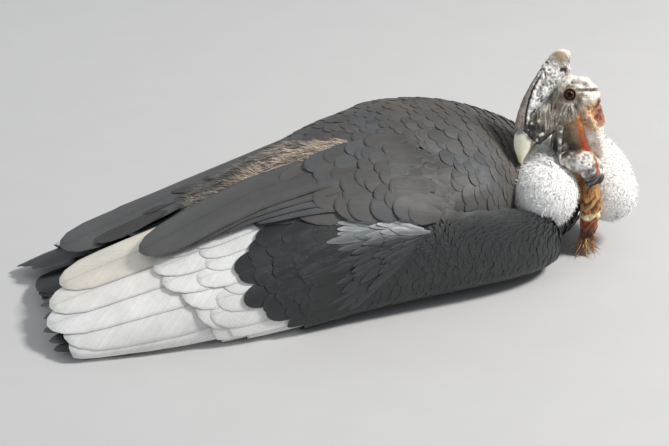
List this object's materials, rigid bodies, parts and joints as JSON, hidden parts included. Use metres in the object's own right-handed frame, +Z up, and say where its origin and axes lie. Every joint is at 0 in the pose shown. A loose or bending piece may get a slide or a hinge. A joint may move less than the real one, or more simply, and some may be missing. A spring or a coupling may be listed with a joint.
{
  "type": "andean condor",
  "caption": "Life-size still model of an adult male Andean condor lying on its belly, wings folded, head turned back over the right shoulder.",
  "frame": {"origin": "middle of the flat under the breast and belly, on the floor", "axes": "+X towards the breast, +Y to the bird's left, +Z up"},
  "size_m": [0.883, 0.4064, 0.2991],
  "materials": {
    "plumage_dark": "matt black to slate feathers",
    "plumage_wing": "black coverts and white panels with dark tips",
    "down_white": "soft white down",
    "skin_grey": "bare wrinkled skin",
    "skin_brown": "bare folded skin, orange brown",
    "skin_comb": "fleshy, finely wrinkled",
    "skin_leg": "scaled, grey",
    "bill_ivory": "horn, ivory with a darker base",
    "bill_dark": "horn, grey",
    "eye": "wet, brown iris and black pupil",
    "claw": "horn, nearly black"
  },
  "bodies": {
    "root": {"torso": "plumage_dark", "tail": "plumage_dark", "wing_right": "plumage_wing", "wing_left": "plumage_wing", "neck_lower": "skin_brown", "neck_upper": "skin_brown", "crop": "skin_brown", "throat_roll": "skin_grey", "ruff": "down_white", "head": "skin_grey", "bill_upper": "bill_ivory", "bill_lower": "bill_dark", "comb": "skin_comb", "eye_right": "eye", "eye_left": "eye", "wattle_throat": "skin_grey", "leg_right": "skin_leg", "foot_right": "skin_leg", "claw_right_inner": "claw", "claw_right_middle": "claw", "claw_right_outer": "claw", "claw_right_hind": "claw", "leg_left": "skin_leg", "foot_left": "skin_leg", "claw_left_inner": "claw", "claw_left_middle": "claw", "claw_left_outer": "claw", "claw_left_hind": "claw"}
  },
  "joints": []
}
